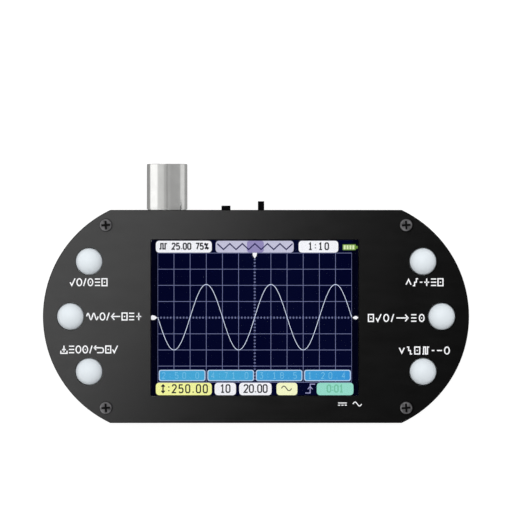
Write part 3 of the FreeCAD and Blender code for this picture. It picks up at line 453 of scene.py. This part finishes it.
def write(drawing, symbols, x0, x1, y0, y1, width, narrow=1.0):
    """Symbols in a row that fills the box. Narrow is the share of its own width that each one gets."""
    height = y1 - y0 - width
    spans = [SYMBOLS[symbol][0] * height * narrow for symbol in symbols]
    gap = (x1 - x0 - width - sum(spans)) / max(1, len(symbols) - 1)
    x = x0 + width / 2
    for symbol, span in zip(symbols, spans):
        for stroke in SYMBOLS[symbol][1]:
            points = [(x + u * height * narrow, y0 + width / 2 + v * height) for u, v in stroke]
            closed = math.dist(points[0], points[-1]) < SAME_POINT
            drawing.stroke(points[:-1] if closed else points, width, closed)
        x += span + gap


# ---------------------------------------------------------------- display picture, under the lens

ACTIVE_WIDTH = 48.96 * MM
ACTIVE_HEIGHT = 36.72 * MM
FIELD_CORNER = 0.1 * MM
PIXEL = ACTIVE_WIDTH / 320
DIVISION = 25 * PIXEL
COLUMNS = 12                # the graticule's size, in divisions
ROWS = 8
MIDDLE_X = COLUMNS // 2
MIDDLE_Y = ROWS // 2
LAYER = 0.02 * MM
GLOW = 1.12
glass_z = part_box("lcd_glass")[1].z
lens_low, lens_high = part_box("window_lens")
screen_x = (lens_low.x + lens_high.x) / 2
screen_y = (lens_low.y + lens_high.y) / 2


def at(gx, gy):
    """A place on the display, in divisions from the graticule's lower left corner."""
    return (screen_x + (gx - MIDDLE_X) * DIVISION, screen_y + (gy - MIDDLE_Y) * DIVISION)


def layer(number):
    """A drawing on the display's given layer."""
    return Drawing(glass_z + LAYER * number, glass_z + LAYER * (number + 1))


def lit(name, colour, other=None, strength=GLOW):
    """Lit pixels: the colour with the dark mesh between pixels, and slightly uneven backlight."""
    finish = Finish(name, Emission_Strength=strength, Roughness=0.6, Specular_IOR_Level=0.0)
    finish.give("Base Color", finish.mottled(finish.noise(6 * MM, 3), colour, 0.02, 0.03))
    dim = other or shade(colour, 0.94)
    glow = finish.ramp(finish.noise(30 * MM, 1), (0.35, dim), (0.65, colour))
    pixels = finish.add("TexBrick", Vector=finish.place, Scale=1.0, Color1=glow, Color2=glow)
    finish.feed(pixels.inputs["Mortar"], shade(colour, 0.6))
    pixels.offset = 0.0
    for socket, value in (("Mortar Size", PIXEL * 0.06), ("Brick Width", PIXEL), ("Row Height", PIXEL)):
        pixels.inputs[socket].default_value = value
    finish.give("Emission Color", pixels.outputs["Color"])
    return finish.material


def pill(drawing, gx0, gx1, gy0, gy1, radius=0.2):
    """A rounded plate between two places in divisions."""
    (x0, y0), (x1, y1) = at(gx0, gy0), at(gx1, gy1)
    drawing.plate(rounded_box(x0, x1, y0, y1, radius * DIVISION))


def words(drawing, symbols, gx0, gx1, gy0, gy1, width=0.08):
    """A row of symbols between two places in divisions."""
    (x0, y0), (x1, y1) = at(gx0, gy0), at(gx1, gy1)
    write(drawing, symbols, x0, x1, y0, y1, width * DIVISION)


def show(drawing, name, colour, other=None, strength=GLOW):
    """The drawing as a lit piece of the display's picture."""
    drawing.piece(name, lit(name, colour, other, strength), "screen")


# Places on the display from here on are in divisions.
TOP_ROW = (8.03, 8.76)
BOTTOM_ROW = (-0.80, -0.03)

field = layer(0)
field.plate(rounded_box(
    screen_x - ACTIVE_WIDTH / 2, screen_x + ACTIVE_WIDTH / 2,
    screen_y - ACTIVE_HEIGHT / 2, screen_y + ACTIVE_HEIGHT / 2, FIELD_CORNER,
))
show(field, "screen_field", srgb(3, 7, 42), srgb(0, 2, 36))

margins = layer(1)
for gx0, gx1 in ((-0.4, -0.02), (12.02, 12.4)):
    margins.plate([at(gx0, -0.79), at(gx1, -0.79), at(gx1, 8.79), at(gx0, 8.79)])
show(margins, "screen_margins", srgb(0, 1, 21))

GRID_LINE = 0.031 * DIVISION
OUTER_LINE = 0.6 * GRID_LINE
AXIS_LINE = 0.5 * GRID_LINE
GRID_COLOUR = srgb(122, 128, 172)
grid_columns = layer(1)
for column in range(COLUMNS + 1):
    if column != MIDDLE_X:
        line = GRID_LINE if 0 < column < COLUMNS else OUTER_LINE
        grid_columns.stroke([at(column, 0), at(column, ROWS)], line)
show(grid_columns, "screen_grid_columns", GRID_COLOUR)
grid_rows = layer(2)
for row in range(ROWS + 1):
    if row != MIDDLE_Y:
        grid_rows.stroke([at(0, row), at(COLUMNS, row)], GRID_LINE)
show(grid_rows, "screen_grid_rows", GRID_COLOUR)

# The level axis stops short of the upright one on both sides, so that they don't overlap.
AXIS_GAP = 0.05
axes_lines = layer(3)
axes_lines.stroke([at(MIDDLE_X, 0), at(MIDDLE_X, ROWS)], AXIS_LINE)
axes_lines.stroke([at(0, MIDDLE_Y), at(MIDDLE_X - AXIS_GAP, MIDDLE_Y)], AXIS_LINE)
axes_lines.stroke([at(MIDDLE_X + AXIS_GAP, MIDDLE_Y), at(COLUMNS, MIDDLE_Y)], AXIS_LINE)
show(axes_lines, "screen_axes", srgb(84, 90, 132))

BEAD = 0.075 * DIVISION
TICKS_PER_DIVISION = 5
TICK_STEP = 1 / TICKS_PER_DIVISION
TICK_HALF = 0.06
LONG_TICK_HALF = 0.1        # where an axis crosses a line of the graticule
ticks = layer(4)
for step in range(1, COLUMNS * TICKS_PER_DIVISION):
    gx = step * TICK_STEP
    half = TICK_HALF if step % TICKS_PER_DIVISION else LONG_TICK_HALF
    ticks.stroke([at(gx, MIDDLE_Y - half), at(gx, MIDDLE_Y + half)], BEAD)
for step in range(1, ROWS * TICKS_PER_DIVISION):
    gy = step * TICK_STEP
    half = TICK_HALF if step % TICKS_PER_DIVISION else LONG_TICK_HALF
    ticks.stroke([at(MIDDLE_X - half, gy), at(MIDDLE_X + half, gy)], BEAD)
show(ticks, "screen_grid_ticks", srgb(112, 118, 160))

TRACE_LINE = 0.03 * DIVISION
TRACE_MIDDLE = 4.03
TRACE_SWING = 2.03
TRACE_STEPS = 16            # to a division
TRACE_HALF_TURN = 2         # divisions
trace = layer(5)
trace.stroke([
    at(i / TRACE_STEPS, TRACE_MIDDLE - TRACE_SWING * math.sin(math.pi * i / (TRACE_STEPS * TRACE_HALF_TURN)))
    for i in range(COLUMNS * TRACE_STEPS + 1)
], TRACE_LINE)
show(trace, "screen_trace", srgb(222, 232, 255), strength=1.35)

# White pills, and the three pointers: at the trace's start, at its end, and over the middle.
white = layer(5)
pill(white, -0.12, 3.34, *TOP_ROW)
pill(white, 8.72, 11.17, *TOP_ROW)
pill(white, 3.52, 4.84, *BOTTOM_ROW)
pill(white, 5.04, 7.04, *BOTTOM_ROW)
for pointer in (
    ((-0.42, 4.1), (-0.42, 3.9), (-0.34, 3.85), (-0.2, 3.87), (-0.03, 4), (-0.2, 4.13), (-0.34, 4.15)),
    ((12.42, 4), (12.3, 4.11), (12.18, 4.09), (12.04, 4), (12.18, 3.91), (12.3, 3.89)),
    ((5.86, 8.02), (5.88, 7.84), (6, 7.66), (6.12, 7.84), (6.14, 8.02)),
):
    white.plate([at(gx, gy) for gx, gy in pointer])
show(white, "screen_pills_white", srgb(250, 250, 255))

lavender = layer(5)
pill(lavender, 3.58, 8.41, *TOP_ROW)
show(lavender, "screen_preview", srgb(200, 199, 222))
violet = layer(6)
pill(violet, 5.52, 6.56, *TOP_ROW, 0.15)
show(violet, "screen_preview_middle", srgb(150, 141, 190))
PREVIEW_LINE = 0.075 * DIVISION
PREVIEW_START = 3.68
PREVIEW_LENGTH = 4.66
PREVIEW_STEPS = 12
PREVIEW_LOW, PREVIEW_HIGH = 8.22, 8.58
preview = layer(7)
preview.stroke([
    at(PREVIEW_START + PREVIEW_LENGTH * i / PREVIEW_STEPS, PREVIEW_LOW if i % 2 else PREVIEW_HIGH)
    for i in range(PREVIEW_STEPS + 1)
], PREVIEW_LINE)
show(preview, "screen_preview_line", srgb(34, 28, 84))

for name, colour, gx0, gx1 in (
    ("screen_pill_yellow", srgb(250, 252, 163), -0.12, 3.34),
    ("screen_pill_pale", srgb(251, 253, 205), 7.35, 8.64),
    ("screen_pill_green", srgb(153, 223, 205), 9.84, 12.11),
):
    coloured = layer(5)
    pill(coloured, gx0, gx1, *BOTTOM_ROW)
    show(coloured, name, colour)

BOX_ROW = (0.07, 0.77)
BOX_BORDER = 0.06
borders = layer(5)
boxes = layer(6)
for gx0, gx1 in ((0.06, 2.95), (3.07, 5.95), (6.07, 8.95), (9.06, 11.95)):
    pill(borders, gx0, gx1, *BOX_ROW, 0.14)
    pill(boxes, gx0 + BOX_BORDER, gx1 - BOX_BORDER, BOX_ROW[0] + BOX_BORDER, BOX_ROW[1] - BOX_BORDER, 0.1)
show(borders, "screen_box_borders", srgb(188, 214, 244))
show(boxes, "screen_boxes", srgb(54, 146, 216), srgb(76, 174, 218))
READING_LENGTH = 2.3
readings = layer(7)
for gx0, figures in ((0.25, "2:50.0"), (3.3, "4:71.0"), (6.3, "3:18.5"), (9.3, "1:20.4")):
    words(readings, figures, gx0, gx0 + READING_LENGTH, 0.22, 0.62, 0.035)
show(readings, "screen_readings", srgb(126, 200, 238))

figures = layer(7)
words(figures, ["pulses", " ", *"25.00", " ", *"75%"], 0.06, 3.16, 8.2, 8.64)
words(figures, "1:10", 9.3, 10.6, 8.18, 8.66)
words(figures, ["span", *":250.00"], 0.14, 3.1, -0.68, -0.12)
words(figures, "10", 3.85, 4.5, -0.66, -0.12)
words(figures, "20.00", 5.3, 6.8, -0.66, -0.12)
words(figures, ["sine"], 7.62, 8.36, -0.62, -0.14, 0.055)
show(figures, "screen_figures", srgb(34, 34, 42))
running = layer(7)
words(running, "0:01", 10.45, 11.5, -0.64, -0.14)
show(running, "screen_running", srgb(118, 196, 165))
edge = layer(7)
words(edge, ["step"], 9.1, 9.52, -0.72, -0.06, 0.05)
show(edge, "screen_edge_mark", srgb(170, 170, 215))

CELL_PITCH = 0.18
CELL_WIDTH = 0.13
battery = layer(5)
pill(battery, 11.44, 12.26, 8.18, 8.54, 0.04)
pill(battery, 12.25, 12.38, 8.28, 8.44, 0.02)
show(battery, "screen_battery", srgb(118, 156, 66))
charge = layer(6)
for cell in range(4):
    gx0 = 11.5 + CELL_PITCH * cell
    pill(charge, gx0, gx0 + CELL_WIDTH, 8.23, 8.49, 0.02)
show(charge, "screen_charge", srgb(224, 240, 186))

# ---------------------------------------------------------------- printed symbols on the face

INK_HEIGHT = 0.02 * MM
INK_STROKE = 0.28 * MM
FINE_STROKE = 0.22 * MM


def white_ink():
    """Screen-printed white ink with a slightly uneven cover."""
    finish = Finish("white_ink", Specular_IOR_Level=0.3)
    cover = finish.noise(0.35 * MM, 4)
    finish.give("Base Color", finish.ramp(cover, (0.3, srgb(226, 227, 230)), (0.6, srgb(250, 250, 252))))
    finish.give("Roughness", finish.between(cover, 0.55, 0.7))
    finish.relief(cover, 0.004 * MM)
    return finish.material


ink = white_ink()


def printed(name, symbols, x0, x1, y0, y1, width, narrow=1.0):
    """A printed row of symbols that fills a box on the face, in millimetres."""
    drawing = Drawing(face_z - INK_HEIGHT / 2, face_z + INK_HEIGHT)
    write(drawing, symbols, x0 * MM, x1 * MM, y0 * MM, y1 * MM, width, narrow)
    drawing.piece(name, ink, "key_white")


# Each key's symbols, with the middle and the length of their row.
LABELS = (
    ("ok", ("tick", "ring", "slash", "target", "bars", "box"), (-39.6, 8.1), 9.0),
    ("left", ("wave", "ring", "slash", "arrow_left", "box", "bars", "plus"), (-33.6, 0.0), 13.2),
    ("back", ("tray", "bars", "ring", "target", "slash", "turn_back", "box", "tick"), (-39.45, -7.8), 13.7),
    ("up", ("chevron_up", "stairs_up", "dash", "plus", "bars", "box"), (39.85, 8.1), 9.0),
    ("right", ("box", "tick", "ring", "slash", "arrow_right", "bars", "target"), (33.2, -0.35), 13.5),
    ("down", ("chevron_down", "stairs_down", "box", "pulses", "dash", "minus", "ring"), (39.8, -8.05), 12.1),
)
LABEL_HALF_HEIGHT = 1.05
LABEL_NARROWING = 0.68
for name, symbols, (x, y), length in LABELS:
    printed(
        name + "_label", symbols, x - length / 2, x + length / 2,
        y - LABEL_HALF_HEIGHT, y + LABEL_HALF_HEIGHT, INK_STROKE, LABEL_NARROWING,
    )
printed("input_label", ("steady", "sine"), 19.3, 25.1, -21.5, -19.9, FINE_STROKE)

# ---------------------------------------------------------------- finishes onto the CAD nodes

for subpart in frame["record"]["subparts"]:
    node = nodes[subpart["node"]]
    for material_slot in node.material_slots:
        material_slot.material = FINISHES[subpart["material_slot"]]

# ---------------------------------------------------------------- floor and light


def floor_finish():
    """Plain pale sweep, slightly uneven, that glows so that it stays white round the part."""
    finish = Finish("floor", Roughness=0.8, Specular_IOR_Level=0.1, Emission_Strength=0.9)
    patches = finish.noise(0.4, 2)
    for socket, low, high in (("Base Color", 0.215, 0.225), ("Emission Color", 0.98, 1)):
        finish.give(socket, finish.ramp(patches, (NOISE_LOW, grey(low)), (NOISE_HIGH, grey(high))))
    return finish.material


FLOOR_HALF = 3.0
FLOOR_Z = -0.05 * MM
floor = bpy.data.meshes.new("floor")
floor.from_pydata(
    [(sx * FLOOR_HALF, sy * FLOOR_HALF, FLOOR_Z) for sx, sy in ((-1, -1), (1, -1), (1, 1), (-1, 1))],
    [], [(0, 1, 2, 3)],
)
floor.materials.append(floor_finish())
floor_object = bpy.data.objects.new("floor", floor)
floor_object.visible_glossy = False
scene.collection.objects.link(floor_object)


def soft_box(name, location, size, radiance):
    """A rectangular soft light that shines towards the part."""
    data = bpy.data.lights.new(name, "AREA")
    data.shape = "RECTANGLE"
    data.size, data.size_y = size
    data.energy = radiance * math.pi * size[0] * size[1]
    made = bpy.data.objects.new(name, data)
    made.location = location
    made.rotation_euler = (-Vector(location)).to_track_quat("-Z", "Y").to_euler()
    made.visible_camera = False
    scene.collection.objects.link(made)
    return made


# The main light, above and beyond the socket's edge. It isn't mirrored in the lens or the barrel.
overhead = soft_box("overhead", (-0.1, 0.36, 0.92), (0.9, 0.9), 2.32)
overhead.visible_glossy = False
overhead.visible_transmission = False

# The sheen on the face's left end. Its light is above and beyond that end, is turned to shine straight
# down, and reaches the face only.
SHEEN_TURN = math.radians(-30)
sheen = soft_box("panel_sheen", (-0.1076, 0.0486, 0.18), (0.2, 0.3), 20.9)
sheen.rotation_euler = (0, 0, SHEEN_TURN)
receivers = bpy.data.collections.new("sheen_receivers")
receivers.objects.link(nodes["front_panel"])
sheen.light_linking.receiver_collection = receivers

world = bpy.data.worlds.new("studio")
world.use_nodes = True
scene.world = world
tree = world.node_tree


def world_ramp(source, low, high, stops):
    """Grey levels along a measure of the direction looked in, which runs from low to high."""
    spread = tree.nodes.new("ShaderNodeMapRange")
    spread.inputs["From Min"].default_value = low
    spread.inputs["From Max"].default_value = high
    tree.links.new(source, spread.inputs["Value"])
    ramp = tree.nodes.new("ShaderNodeValToRGB")
    tree.links.new(spread.outputs[0], ramp.inputs[0])
    elements = ramp.color_ramp.elements
    while len(elements) < len(stops):
        elements.new(0.5)
    for element, (position, level) in zip(elements, stops):
        element.position = (position - low) / (high - low)
        element.color = grey(level)
    return ramp.outputs["Color"]


direction = tree.nodes.new("ShaderNodeTexCoord")
axes = tree.nodes.new("ShaderNodeSeparateXYZ")
tree.links.new(direction.outputs["Generated"], axes.inputs[0])
around = tree.nodes.new("ShaderNodeMath")
around.operation = "ARCTAN2"
tree.links.new(axes.outputs["X"], around.inputs[0])
tree.links.new(axes.outputs["Z"], around.inputs[1])

# Bright and dark strips, which the barrel mirrors: degrees from straight up towards +X, and the level there.
STRIPS = (
    (-180, 0.32), (-114, 0.43), (-108, 1.43), (-57, 1.45), (-53, 0.85), (-20, 0.82), (-14, 0.58),
    (12, 0.56), (24, 0.49), (60, 0.5), (80, 0.53), (85, 0.93), (116, 0.93), (121, 0.48), (180, 0.32),
)
# Straight overhead it is dark, so that the face stays black: the direction's height, and the level there.
OVERHEAD_START = 0.99
OVERHEAD = ((OVERHEAD_START, 1.0), (0.9955, 1.0), (0.998, 0.02), (1.0, 0.02))
strips = world_ramp(
    around.outputs[0], -math.pi, math.pi, [(math.radians(turn), level) for turn, level in STRIPS],
)
above = world_ramp(axes.outputs["Z"], OVERHEAD_START, 1, OVERHEAD)
product = tree.nodes.new("ShaderNodeMix")
product.data_type = "RGBA"
product.blend_type = "MULTIPLY"
product.inputs["Factor"].default_value = 1.0
tree.links.new(strips, product.inputs[COLOUR_A])
tree.links.new(above, product.inputs[COLOUR_B])

# Matt surfaces and the camera see an even world instead, each at its own level.
ray = tree.nodes.new("ShaderNodeLightPath")
light = product.outputs[COLOUR_OUT]
for kind, level in (("Is Diffuse Ray", 0.6), ("Is Camera Ray", 0.95)):
    choice = tree.nodes.new("ShaderNodeMix")
    choice.data_type = "RGBA"
    tree.links.new(ray.outputs[kind], choice.inputs["Factor"])
    tree.links.new(light, choice.inputs[COLOUR_A])
    choice.inputs[COLOUR_B].default_value = grey(level)
    light = choice.outputs[COLOUR_OUT]
tree.links.new(light, tree.nodes["Background"].inputs["Color"])
